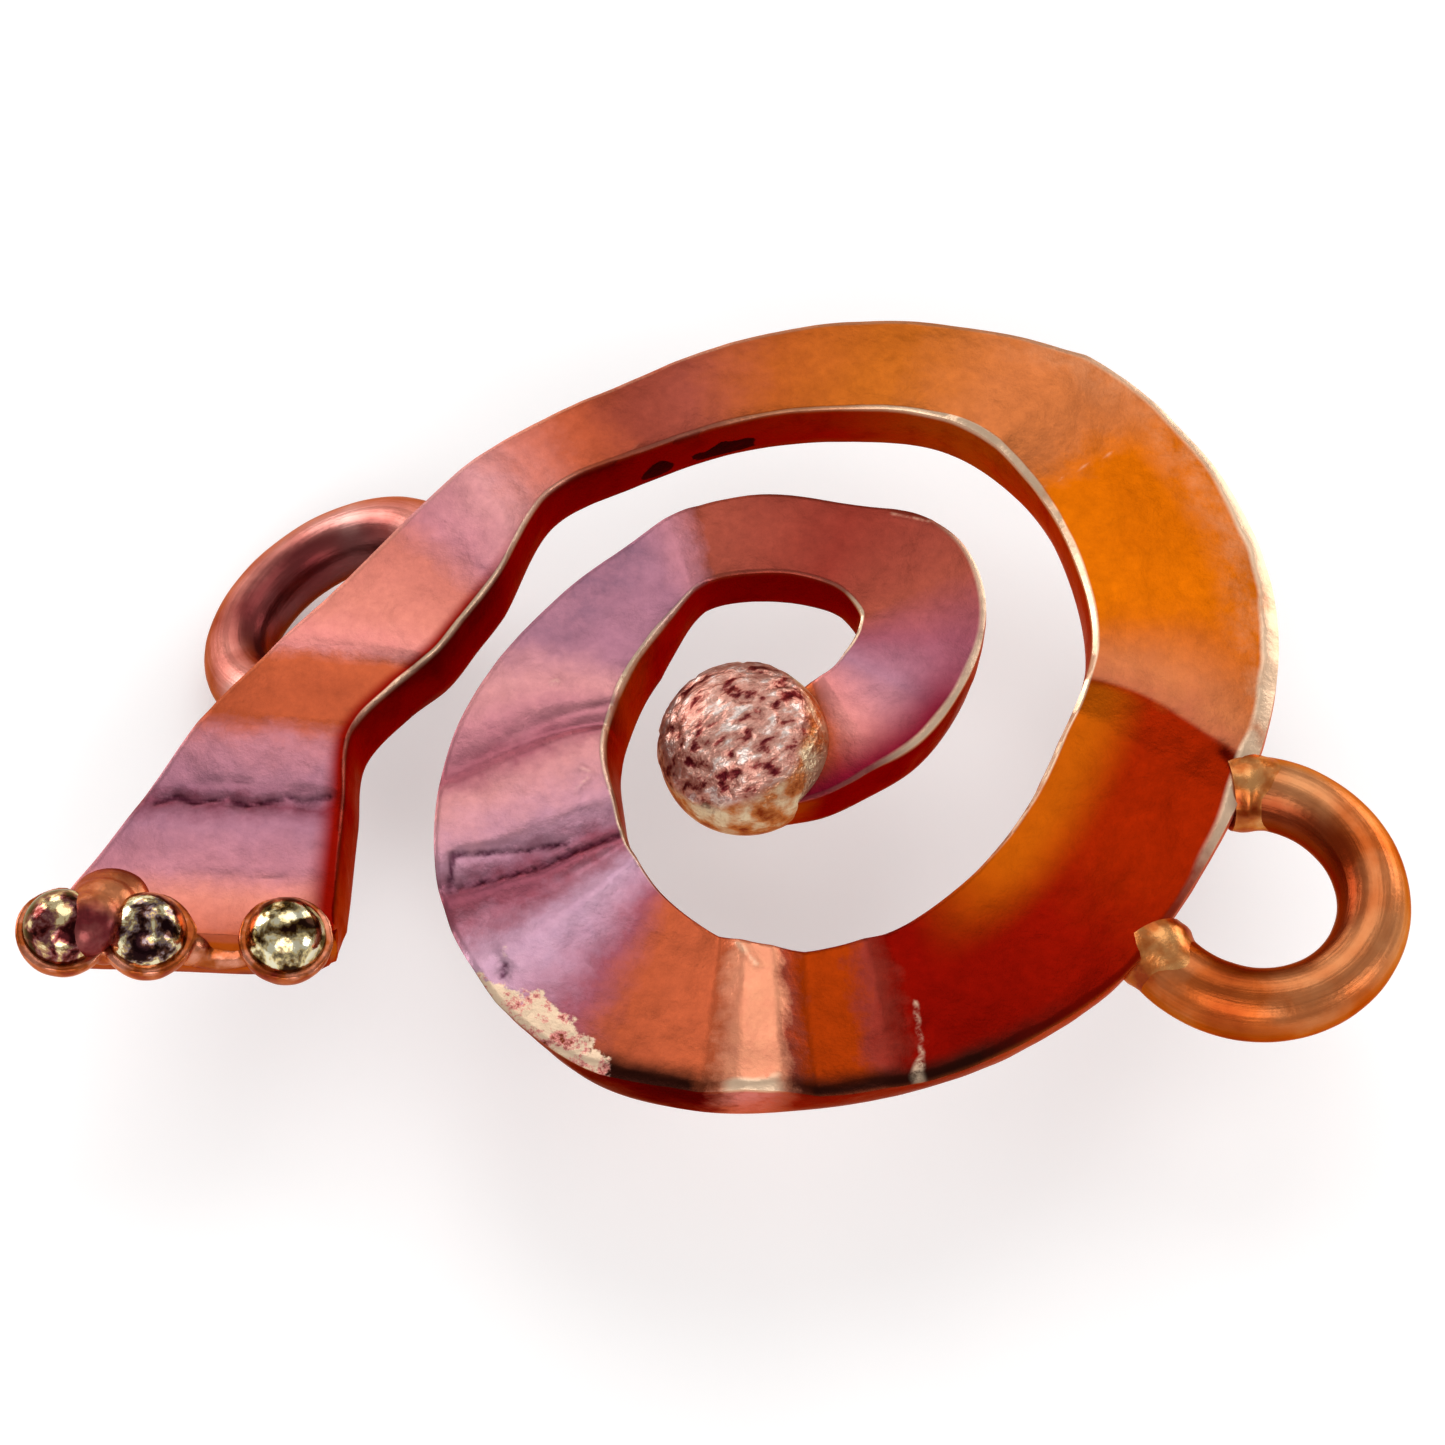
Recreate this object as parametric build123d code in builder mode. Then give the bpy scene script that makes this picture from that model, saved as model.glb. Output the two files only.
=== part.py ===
"""Forged copper spiral link: a flat spiral strip with a flared tail, a ball at its
inner end, three brass beads on the tail, one ring soldered to the rim and one
ring that swings in a keeper behind the tail.

Millimetres and degrees. The origin is the centre of the fixed ring, the strip's
mid-plane is Z = 0, the front face looks along +Z and the tail runs towards -X.
The swinging ring is drawn at rest, hanging below the plane of the strip.
"""
import os
from math import acos, cos, degrees, radians, sin

from build123d import *

# ---------------------------------------------------------------- driving sizes
strip_thickness = 1.8
spiral_scale = 1.0          # size of the whole outline, as a multiple of the drawn one
front_bevel = 0.2           # filed edge round the front face
back_bevel = 0.15           # filed edge round the back face

ball_diameter = 4.7
bead_diameter = 2.1
bead_margin = -0.35         # first bead's side from the tail's outer corner, outside it when negative
bead_gaps = (0.05, 1.45)    # between neighbouring beads, along the tail's end
bead_setback = 0.45         # bead centres behind the tail's end face
bead_lift = 0.05            # bead centres above the front face
solder_collar = 0.2         # how far solder stands proud of what it holds

wire_diameter = 2.0
ring_inside = 4.4           # clear hole of both rings
ring_seat = 1.55            # fixed ring's centre outside the rim it is soldered to
ring_facing = -26.6         # bearing that the rim faces at the fixed ring

hinge_bearing = 61.0        # direction of the swinging ring's hinge, along the neck
hinge_from_centre = (-8.55, 4.78)  # where the hinge crosses the neck, at scale 1
hinge_droop = 35.5          # swinging ring below flat, at rest
running_clearance = 0.1     # keeper to ring wire, all round
keeper_thickness = 0.33
keeper_length = 1.0
keeper_solder_leg = 0.3

# ------------------------------------------------- outline of the hammered strip
# Tail, from its end to the neck: X and Y from the spiral's centre.
tail_outer = [(-18.3, -7.1), (-17.9, -6.1), (-17.0, -4.7), (-14.1, 0.2), (-11.3, 3.6), (-8.65, 6.85)]
tail_inner = [(-10.6, -7.1), (-10.65, -4.6), (-10.45, -0.7), (-9.9, 0.5), (-8.6, 1.75), (-7.6, 3.2),
              (-6.7, 4.6)]
# Coil, from the neck clockwise: bearing, inner radius, outer radius.
coil = [
    (126, 9.1, 11.1), (108, 9.25, 11.45), (92, 9.9, 12.5), (76, 10.75, 13.8), (60, 11.65, 15.0),
    (48, 11.45, 15.75), (33, 10.65, 15.7), (18, 9.75, 15.05), (2, 8.35, 13.8), (-15, 7.6, 12.45),
    (-35, 7.1, 11.6), (-58, 6.8, 10.85), (-80, 6.5, 10.55), (-97, 6.1, 10.65), (-111, 5.55, 10.6),
    (-128, 4.8, 9.85), (-150, 4.05, 8.75), (-173, 3.8, 7.6), (-195, 3.6, 6.75), (-218, 3.7, 6.35),
    (-240, 4.1, 6.5), (-258, 4.85, 7.2), (-276, 5.1, 7.6), (-292, 5.25, 7.85),
]
ring_station = (-15, 12.45)  # bearing and rim radius where the fixed ring sits
# Hook round the ball, from the coil to the ball: X and Y from the spiral's centre.
hook_outer = [(4.75, 7.0), (5.9, 6.1), (6.4, 4.7), (6.3, 3.2), (5.6, 1.4), (4.55, -0.05), (3.3, -0.95)]
hook_inner = [(3.05, 3.9), (2.85, 3.05)]
# Where the hook meets the ball: bearing from the ball's centre, distance outside its surface.
hook_seat_outer = [(-37, 0.3), (-60, -0.2)]
hook_seat_inner = [(43, 0.8), (49, -0.3)]


def polar(bearing, radius):
    """X and Y of a point at a bearing and a distance."""
    return Vector(radius * cos(radians(bearing)), radius * sin(radians(bearing)))


# ---------------------------------------------------------------- derived places
half = strip_thickness / 2
ball_radius = ball_diameter / 2
bead_radius = bead_diameter / 2
wire_radius = wire_diameter / 2
ring_radius = ring_inside / 2 + wire_radius      # to the wire's centreline
keeper_bore = wire_radius + running_clearance
keeper_outside = keeper_bore + keeper_thickness

rim_at_ring = polar(ring_station[0], ring_station[1] * spiral_scale)
centre = -(rim_at_ring + polar(ring_facing, ring_seat))


def placed(points):
    """Outline points at the model's scale, about the spiral's centre."""
    return [centre + Vector(*point) * spiral_scale for point in points]


coil_inner = [polar(bearing, inner) for bearing, inner, outer in coil]
coil_outer = [polar(bearing, outer) for bearing, inner, outer in coil]
seat_outer = [centre + polar(bearing, ball_radius + outside) for bearing, outside in hook_seat_outer]
seat_inner = [centre + polar(bearing, ball_radius + outside) for bearing, outside in hook_seat_inner]
outer_edge = placed(tail_outer + coil_outer + hook_outer) + seat_outer
inner_edge = placed(tail_inner + coil_inner + hook_inner) + seat_inner
tail_corner = outer_edge[0]
end_face_y = tail_corner.Y

first_bead = Vector(tail_corner.X + bead_margin + bead_radius, end_face_y + bead_setback, half + bead_lift)
bead_steps = [0, bead_diameter + bead_gaps[0], 2 * bead_diameter + sum(bead_gaps)]
bead_places = [first_bead + Vector(step, 0, 0) for step in bead_steps]

hinge_axis = polar(hinge_bearing, 1)
outboard = polar(hinge_bearing + 90, 1)
neck = placed([hinge_from_centre])[0]
hinge_point = Vector(neck.X, neck.Y, -half - keeper_bore)
ring_arm = outboard * cos(radians(hinge_droop)) - Vector(0, 0, sin(radians(hinge_droop)))
swinging_centre = hinge_point + ring_arm * ring_radius
swinging_plane = Plane(origin=swinging_centre, x_dir=ring_arm, z_dir=hinge_axis.cross(ring_arm))

# ---------------------------------------------------------------- spiral strip
with BuildSketch(Plane.XY.offset(-half)) as outline:
    with BuildLine():
        outer_line = Spline(*outer_edge)
        inner_line = Spline(*inner_edge)
        Line(outer_line @ 0, inner_line @ 0)
        Line(outer_line @ 1, inner_line @ 1)
    make_face()

with BuildPart() as spiral_strip:
    add(outline.sketch)
    extrude(amount=strip_thickness)
    chamfer(spiral_strip.edges().group_by(Axis.Z)[-1], length=front_bevel)
    chamfer(spiral_strip.edges().group_by(Axis.Z)[0], length=back_bevel)
    with Locations(centre):
        Sphere(ball_radius, mode=Mode.SUBTRACT)
    with Locations(bead_places):
        Sphere(bead_radius, mode=Mode.SUBTRACT)
spiral_strip.part.label = "spiral_strip"

# ------------------------------------------------------------------ centre ball
with BuildPart() as centre_ball:
    with Locations(centre):
        Sphere(ball_radius)
centre_ball.part.label = "centre_ball"

# ------------------------------------------------------------------ brass beads
beads = {}
for name, place in zip(("outer_bead", "middle_bead", "inner_bead"), bead_places):
    with BuildPart() as bead:
        with Locations(place):
            Sphere(bead_radius)
    bead.part.label = name
    beads[name] = bead.part

# Solder cups the lower half of each bead, in front of the tail's end face.
with BuildPart() as bead_solder:
    with Locations(bead_places):
        Sphere(bead_radius + solder_collar)
    add(outline.sketch)
    extrude(amount=strip_thickness + bead_diameter, mode=Mode.SUBTRACT)
    with Locations(Vector(0, 0, half)):
        Box(200, 200, 2 * bead_diameter, align=(Align.CENTER, Align.CENTER, Align.MIN), mode=Mode.SUBTRACT)
    with Locations(bead_places):
        Sphere(bead_radius, mode=Mode.SUBTRACT)
bead_solder.part.label = "bead_solder"

# ------------------------------------------------------------------- fixed ring
# The wire is a full ring cut away along the rim, so both ends butt on the strip.
with BuildPart() as fixed_ring:
    Torus(ring_radius, wire_radius)
    add(outline.sketch)
    extrude(amount=strip_thickness + wire_diameter, both=True, mode=Mode.SUBTRACT)
fixed_ring.part.label = "fixed_ring"

# A fillet of solder stands round the wire at each of the two butt joints.
butt_angle = degrees(acos(ring_seat / ring_radius))
butt_places = [polar(ring_facing + 180 + side * butt_angle, ring_radius) for side in (-1, 1)]
with BuildPart() as ring_solder:
    with Locations(butt_places):
        Sphere(wire_radius + solder_collar)
    Torus(ring_radius, wire_radius, mode=Mode.SUBTRACT)
    add(outline.sketch)
    extrude(amount=strip_thickness + wire_diameter, both=True, mode=Mode.SUBTRACT)
ring_solder.part.label = "ring_solder"

# ---------------------------------------------------------------- swinging ring
with BuildPart(swinging_plane) as swinging_ring:
    Torus(ring_radius, wire_radius)
swinging_ring.part.label = "swinging_ring"

# ----------------------------------------------------------------------- keeper
# A strap bent round the swinging ring's wire, with both feet on the back.
keeper_plane = Plane(origin=hinge_point, x_dir=outboard, z_dir=hinge_axis)
with BuildPart() as ring_keeper:
    with BuildSketch(keeper_plane):
        Circle(keeper_outside)
        Rectangle(2 * keeper_outside, keeper_bore, align=(Align.CENTER, Align.MIN))
        Circle(keeper_bore, mode=Mode.SUBTRACT)
        Rectangle(2 * keeper_bore, keeper_outside, align=(Align.CENTER, Align.MIN), mode=Mode.SUBTRACT)
        with Locations((0, keeper_bore)):
            Rectangle(2 * keeper_outside, keeper_outside, align=(Align.CENTER, Align.MIN), mode=Mode.SUBTRACT)
    extrude(amount=keeper_length / 2, both=True)
ring_keeper.part.label = "ring_keeper"

# Solder runs into the corner before and behind each foot.
leg = keeper_solder_leg
foot_offset = keeper_bore + keeper_thickness / 2
with BuildPart() as keeper_solder:
    for side in (-1, 1):
        foot = hinge_point + outboard * side * foot_offset + Vector(0, 0, keeper_bore)
        with BuildSketch(Plane(origin=foot, x_dir=hinge_axis, z_dir=-outboard)):
            for end in (-1, 1):
                with BuildLine():
                    Polyline((end * keeper_length / 2, 0), (end * (keeper_length / 2 + leg), 0),
                             (end * keeper_length / 2, -leg), close=True)
                make_face()
        extrude(amount=keeper_thickness / 2, both=True)
keeper_solder.part.label = "keeper_solder"

nodes = [
    spiral_strip.part, centre_ball.part, *beads.values(), bead_solder.part, fixed_ring.part,
    ring_solder.part, swinging_ring.part, ring_keeper.part, keeper_solder.part,
]

os.makedirs("parts", exist_ok=True)
for node in nodes:
    export_step(node, f"parts/{node.label}.step")
print("hinge point", hinge_point, "axis", hinge_axis)
print("swinging ring centre", swinging_centre, "axis", swinging_plane.z_dir)
print("spiral centre", centre)
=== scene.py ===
"""Looks of the forged copper spiral link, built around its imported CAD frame.

Shapes are worked out in millimetres and written to meshes in metres. Places on the strip
are given as a station, which counts along the strip from the tail's end, and a share of
the width, 0 at the edge that faces the ball and 1 at the outer rim.
"""

from bisect import bisect_right
from math import acos, cos, degrees, exp, pi, radians, sin

import bmesh
import bpy
from mathutils import Matrix, Vector, noise


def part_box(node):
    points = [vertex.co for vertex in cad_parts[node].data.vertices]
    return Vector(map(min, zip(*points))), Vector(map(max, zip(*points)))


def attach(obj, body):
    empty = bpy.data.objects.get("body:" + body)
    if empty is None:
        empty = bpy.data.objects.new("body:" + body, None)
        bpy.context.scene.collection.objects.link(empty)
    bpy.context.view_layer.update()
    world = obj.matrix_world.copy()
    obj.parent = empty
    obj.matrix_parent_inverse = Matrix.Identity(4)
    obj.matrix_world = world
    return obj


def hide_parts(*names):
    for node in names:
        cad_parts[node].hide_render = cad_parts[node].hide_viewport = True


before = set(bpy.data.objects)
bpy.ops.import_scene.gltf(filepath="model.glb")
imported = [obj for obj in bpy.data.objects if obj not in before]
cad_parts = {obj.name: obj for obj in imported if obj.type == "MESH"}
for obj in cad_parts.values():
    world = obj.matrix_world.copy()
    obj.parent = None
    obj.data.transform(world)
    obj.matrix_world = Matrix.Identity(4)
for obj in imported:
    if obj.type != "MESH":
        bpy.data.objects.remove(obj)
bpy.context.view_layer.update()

MM = 0.001
UP = Vector((0, 0, 1))

# ---- sizes, as in the CAD
HALF = 0.9  # half the strip's thickness
BALL_RADIUS = 2.35
BEAD_RADIUS = 1.05
WIRE_RADIUS = 1.0
RING_RADIUS = 3.2  # to the wire's centreline
RIM_FACING = -26.6  # bearing that the rim faces at the fixed ring
RIM_SEAT = 1.55  # fixed ring's centre outside the rim
HINGE_BEARING = 61.0
HINGE_DROOP = 35.5  # swinging ring below flat, at rest
KEEPER_BORE = 1.1  # radius inside the strap's bend
KEEPER_THICKNESS = 0.33
KEEPER_LENGTH = 1.0
SOLDER = 0.2  # how far solder stands proud of what it holds


def middle(node):
    """Centre of a CAD node's box, in millimetres."""
    low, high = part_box(node)
    return (low + high) / (2 * MM)


CENTRE = middle("centre_ball")
BEADS = {name: middle(name) for name in ("outer_bead", "middle_bead", "inner_bead")}

# ---- outline of the strip
# Pairs of edge points about the ball's centre: outer rim, then the edge facing the ball.
TAIL = [
    ((-18.3, -7.1), (-10.6, -7.1)), ((-17.7, -5.75), (-10.7, -5.75)), ((-17.0, -4.7), (-10.65, -4.6)),
    ((-15.6, -2.35), (-10.55, -2.5)), ((-14.1, 0.2), (-10.4, -0.35)), ((-12.75, 1.9), (-9.35, 1.1)),
    ((-11.3, 3.6), (-8.25, 2.2)), ((-10.0, 5.2), (-7.45, 3.45)), ((-8.65, 6.85), (-6.7, 4.6)),
]
# Bearing from the ball, inner radius, outer radius.
COIL = [
    (126, 9.1, 11.1), (108, 9.25, 11.45), (92, 9.9, 12.5), (76, 10.75, 13.8), (60, 11.65, 15.0),
    (48, 11.45, 15.75), (33, 10.65, 15.7), (18, 9.75, 15.05), (2, 8.35, 13.8), (-15, 7.6, 12.45),
    (-35, 7.1, 11.6), (-58, 6.8, 10.85), (-80, 6.5, 10.55), (-97, 6.1, 10.65), (-111, 5.55, 10.6),
    (-128, 4.8, 9.85), (-150, 4.05, 8.75), (-173, 3.8, 7.6), (-195, 3.6, 6.75), (-218, 3.7, 6.35),
    (-240, 4.1, 6.5), (-258, 4.85, 7.2), (-276, 5.1, 7.6), (-292, 5.25, 7.85),
]
HOOK = [
    ((4.75, 7.0), (2.62, 4.5)), ((5.9, 6.1), (3.05, 3.9)), ((6.4, 4.7), (3.0, 3.45)),
    ((6.3, 3.2), (2.85, 3.05)), ((5.6, 1.4), (2.6, 2.6)), ((4.55, -0.05), (2.3, 2.15)),
    ((3.3, -0.95), (1.9, 1.85)), ((2.12, -1.6), (1.6, 1.7)), ((1.08, -1.86), (1.35, 1.55)),
]


def polar(bearing, radius):
    """Point in plan at a bearing, in degrees, and a distance."""
    return Vector((radius * cos(radians(bearing)), radius * sin(radians(bearing)), 0))


OUTER = [Vector((*outer, 0)) for outer, inner in TAIL]
INNER = [Vector((*inner, 0)) for outer, inner in TAIL]
OUTER += [polar(bearing, outer) for bearing, inner, outer in COIL]
INNER += [polar(bearing, inner) for bearing, inner, outer in COIL]
OUTER += [Vector((*outer, 0)) for outer, inner in HOOK]
INNER += [Vector((*inner, 0)) for outer, inner in HOOK]
LAST = len(OUTER) - 1
GAPS = [((OUTER[i + 1] + INNER[i + 1]) - (OUTER[i] + INNER[i])).length / 2 for i in range(LAST)]


def slope(points, i):
    """Tangent at a point of an outline, per millimetre along the strip."""
    if i == 0:
        return (points[1] - points[0]) / GAPS[0]
    if i == LAST:
        return (points[i] - points[i - 1]) / GAPS[i - 1]
    before, after = GAPS[i - 1], GAPS[i]
    back = (points[i] - points[i - 1]) / before
    ahead = (points[i + 1] - points[i]) / after
    return (back * after + ahead * before) / (before + after)


def along_edge(points, station):
    """Point on a smooth curve through an outline's points."""
    i = min(int(station), LAST - 1)
    s = station - i
    gap = GAPS[i]
    return (points[i] * (2 * s**3 - 3 * s**2 + 1) + slope(points, i) * gap * (s**3 - 2 * s**2 + s)
            + points[i + 1] * (3 * s**2 - 2 * s**3) + slope(points, i + 1) * gap * (s**3 - s**2))


def between(knots, x):
    """Straight-line value between knots of (place, value)."""
    i = bisect_right([place for place, value in knots], x)
    if i == 0:
        return knots[0][1]
    if i == len(knots):
        return knots[-1][1]
    (x0, y0), (x1, y1) = knots[i - 1], knots[i]
    return y0 + (y1 - y0) * (x - x0) / (x1 - x0)


def bell(distance, width):
    """Smooth bump of height 1."""
    return exp(-((distance / width) ** 2))


def wander(place, size, seed):
    """Smooth random value, about -1 to 1, whose lumps are `size` millimetres across."""
    return noise.noise(place / size + Vector((seed * 7.3, seed * 3.1, seed * 5.7)))


# ---- hammered relief
# Height of the front face, at stations along the strip: folds, ridges and flats.
RELIEF = [
    (0, 0.0), (1.2, 0.0), (2.0, 0.03), (2.7, 0.0), (2.88, -0.04), (3.05, 0.0), (3.8, 0.1), (4.05, 0.03),
    (5.2, -0.02), (5.6, 0.04), (7.0, 0.0), (8.4, 0.12), (9.2, -0.03), (10.3, -0.05), (12.0, 0.0),
    (13.55, 0.1), (14.3, -0.07), (15.2, 0.02), (16.75, 0.12), (17.2, -0.06), (18.6, 0.0), (20.2, -0.08),
    (20.45, 0.02), (20.95, -0.12), (21.3, 0.15), (21.65, 0.17), (22.0, -0.06), (23.0, 0.0), (24.1, 0.07),
    (24.42, -0.08), (24.6, -0.01), (24.8, -0.08), (25.1, 0.04), (25.9, 0.05), (26.1, -0.06), (26.6, 0.03),
    (27.5, -0.03), (29.6, 0.08), (30.1, -0.06), (31.6, 0.0), (33.2, 0.05), (35.0, 0.0), (37.0, 0.04),
    (38.8, 0.0), (39.6, -0.1), (40.4, -0.25), (LAST, -0.35),
]
# How far each fold leans: stations gained from the inner edge to the outer rim.
LEAN = [
    (0, 0.0), (3.5, 0.0), (5.3, -0.55), (7.0, 0.0), (13.0, 0.0), (14.3, 0.2), (15.5, 0.4), (16.8, 1.1),
    (18.5, 0.2), (20.3, 0.4), (21.4, 0.0), (23.0, 0.0), (24.6, 0.45), (25.3, 0.0), (26.1, -0.9),
    (27.5, -0.3), (29.0, 0.0), (LAST, 0.0),
]
# How far the back edge spreads beyond the front edge.
SPREAD_INNER = [
    (0, -0.05), (0.6, 0.1), (1.2, 0.35), (5, 0.45), (8, 0.4), (10, 0.1), (13, 0.0), (14.5, -0.15),
    (16, 0.0), (19, 0.1), (24, 0.3), (26, 0.55), (28.5, 0.5), (30, 0.05), (33, -0.1), (LAST, 0.0),
]
SPREAD_OUTER = [
    (0, 0.1), (9, -0.04), (11, -0.2), (13, -0.2), (14.5, -0.05), (17, 0.0), (19, -0.35), (20.5, -0.48),
    (21.2, -0.28), (21.7, -0.17), (22.3, -0.18), (22.8, -0.33), (23.4, -0.58), (24, -0.84), (25, -0.75),
    (26, -0.5), (28, -0.15), (30, 0.0), (LAST, 0.0),
]
# How far the front face spreads beyond the plain outline at the outer rim.
SWELL_OUTER = [
    (10.5, 0.0), (11.5, -0.03), (12.6, -0.03), (13.4, 0.07), (13.58, 0.14), (13.9, 0.02), (14.5, -0.05),
    (15.5, 0.0), (17.5, 0.0), (19, 0.3), (20.5, 0.3), (21.2, 0.06), (21.7, -0.06), (22.3, -0.05),
    (22.8, 0.12), (23.4, 0.4), (24, 0.66), (25, 0.58), (26, 0.35), (28, 0.1), (29.5, 0.0),
]
# Creases, spots and scrapes: (station, share) at both ends, half width, depth; scrapes stand proud.
CREASES = [
    ((2.84, 0.92), (2.94, 0.85), 0.1, 0.06), ((2.94, 0.85), (2.86, 0.74), 0.11, 0.06),
    ((2.86, 0.74), (2.93, 0.61), 0.09, 0.06), ((2.9, 0.55), (2.86, 0.47), 0.11, 0.06),
    ((2.86, 0.47), (2.97, 0.31), 0.09, 0.06), ((3.0, 0.28), (2.93, 0.2), 0.13, 0.06),
    ((2.93, 0.2), (3.04, 0.08), 0.12, 0.06), ((3.1, 0.8), (3.14, 0.52), 0.08, 0.03),
    ((3.06, 0.3), (3.12, 0.16), 0.08, 0.03),
    ((24.88, 0.95), (24.66, 0.5), 0.11, 0.09), ((24.66, 0.5), (24.42, 0.04), 0.12, 0.1),
    ((25.12, 0.9), (24.86, 0.5), 0.1, 0.08), ((24.86, 0.5), (24.72, 0.3), 0.09, 0.06),
    ((24.88, 0.95), (25.12, 0.9), 0.1, 0.05), ((26.08, 0.72), (26.5, 0.35), 0.08, 0.015),
    ((26.5, 0.35), (26.9, 0.02), 0.09, 0.03), ((28.3, 0.76), (28.36, 0.7), 0.12, 0.01),
    ((28.8, 0.66), (28.86, 0.58), 0.12, 0.01), ((28.52, 0.62), (28.56, 0.6), 0.09, 0.01),
    ((17.14, 0.82), (17.3, 0.96), 0.2, 0.05), ((1.72, 0.3), (1.76, 0.22), 0.07, 0.02),
    ((8.6, 0.72), (8.68, 0.66), 0.1, 0.01), ((8.8, 0.62), (8.84, 0.57), 0.08, 0.01),
    ((24.1, 0.9), (24.14, 0.86), 0.12, 0.09),
]
SCRAPES = [
    ((20.14, 0.5), (20.3, 0.85), 0.08, 0.04), ((20.32, 0.88), (20.4, 0.97), 0.14, 0.05),
    ((14.2, 0.05), (14.36, 0.62), 0.06, 0.03),
    ((25.42, 0.12), (25.3, 0.2), 0.09, 0.03), ((25.5, 0.1), (25.62, 0.16), 0.07, 0.03),
    ((21.75, 0.03), (21.5, 0.16), 0.12, 0.04), ((26.95, 0.5), (27.0, 0.48), 0.12, 0.03),
    ((24.2, 0.84), (24.24, 0.82), 0.08, 0.05), ((9.9, 0.04), (10.0, 0.1), 0.1, 0.02),
    ((21.35, 0.92), (21.6, 0.97), 0.14, 0.04), ((32.6, 0.93), (33.2, 0.97), 0.1, 0.03),
]
# Height of the back face.
BACK = [
    (0, -0.42), (0.3, -0.68), (0.9, -0.86), (1.6, -0.9), (29, -0.9), (33, -0.72), (38, -0.78), (LAST, -0.85),
]
# How brightly each filed edge is worn, and painted with highlight where it catches the light.
WEAR_AND_HIGHLIGHT_INNER = [
    (0, 0.2), (4, 0.4), (5, 0.8), (8.5, 0.7), (9.5, 0.3), (12, 0.5), (13, 1.0), (17.5, 0.9), (19, 0.3),
    (23, 0.3), (24.5, 0.9), (29, 0.9), (30, 0.2), (33, 0.4), (34, 1.0), (36, 1.0), (38, 0.3), (LAST, 0.2),
]
WEAR_AND_HIGHLIGHT_OUTER = [
    (0, 0.2), (2, 0.3), (9, 0.4), (13, 0.5), (15, 0.9), (15.6, 1.2), (17.3, 1.2), (18.2, 0.4), (19, 0.2),
    (21.2, 0.0), (21.4, 0.9), (21.7, 0.9), (21.9, 0.0), (24, 0.1), (33, 0.3), (34.5, 0.75), (38, 0.8),
    (39, 0.4), (LAST, 0.3),
]
# How deep and wide the filed bevel along each edge is.
BEVEL_INNER = [
    (0, 0.06), (12.5, 0.06), (13.5, 0.11), (17, 0.11), (18, 0.06), (24.4, 0.06), (25, 0.08), (28.5, 0.08),
    (29.5, 0.05), (LAST, 0.05),
]
BEVEL_OUTER = [
    (0, 0.06), (14.5, 0.07), (15.4, 0.2), (16, 0.26), (17.2, 0.3), (17.7, 0.12), (19, 0.1), (19.8, 0.16),
    (21, 0.16), (21.4, 0.12), (21.7, 0.12), (22, 0.16), (23, 0.14), (23.6, 0.07), (33, 0.05), (35, 0.07),
    (38, 0.07), (LAST, 0.05),
]
# Where the outer rim rolls over and is painted dark, as painted shade.
ROLLED = [
    (19, 0.0), (19.8, 1.0), (21.1, 1.0), (21.35, 0.0), (21.75, 0.0), (22, 1.0), (23.1, 1.0), (23.6, 0.0),
]
# Black fire scale on the inner wall: station, half width.
FIRE_SCALE = [(10.2, 0.2), (10.95, 0.36)]

STEPS = 21  # sections between two stations
ACROSS = 46  # facets across the front face
WALL_ROWS = 5  # rows of points down each wall, between its top and its foot
END_SETBACK = 0.42  # the tail's front edge behind its end
END_SLOPE = 0.5  # how far the tail's end face leans out
END_REACH = 0.5  # stations over which the end is shaped
LIP = 0.01  # how far a bevel's lower edge stands out
LIP_WALL = 0.6  # its share of the wall's colour
BACK_BEVEL = 0.12  # how deep and wide the back's bevel is
CREASE_DEPTH = 0.05  # from this depth on, a crease is marked at full strength


def on_strip(station, share):
    """Point in plan at a station and a share of the width."""
    outer = along_edge(OUTER, station)
    inner = along_edge(INNER, station)
    outer = outer + (outer - inner).normalized() * between(SWELL_OUTER, station)
    return inner.lerp(outer, share)


def lines_near(lines, station, reach=0.9):
    """Lines that pass near a station, with their ends in plan."""
    near = []
    for first, last, width, depth in lines:
        if min(first[0], last[0]) - reach < station < max(first[0], last[0]) + reach:
            near.append((on_strip(*first), on_strip(*last), width, depth))
    return near


def touch(near, place):
    """Strength of the nearest line at a point, 0 to 1, weaker where shallow, and its depth there."""
    strength = depth = 0.0
    for first, last, width, sunk in near:
        run = last - first
        share = min(max((place - first).dot(run) / run.length_squared, 0), 1)
        ragged = 1.15 * width * (1 + 0.6 * wander(place, 0.45, 61))
        pull = bell((place - first - run * share).length, ragged)
        strength = max(strength, pull * min(1, sunk / CREASE_DEPTH))
        depth = max(depth, pull * sunk)
    return strength, depth


# Marks that each point carries for the material; patch is flaked metal, or fire scale on a wall.
PLAIN = dict.fromkeys(("along", "across", "wall", "edge", "back", "crease", "scrape", "patch"), 0.0)


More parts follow.
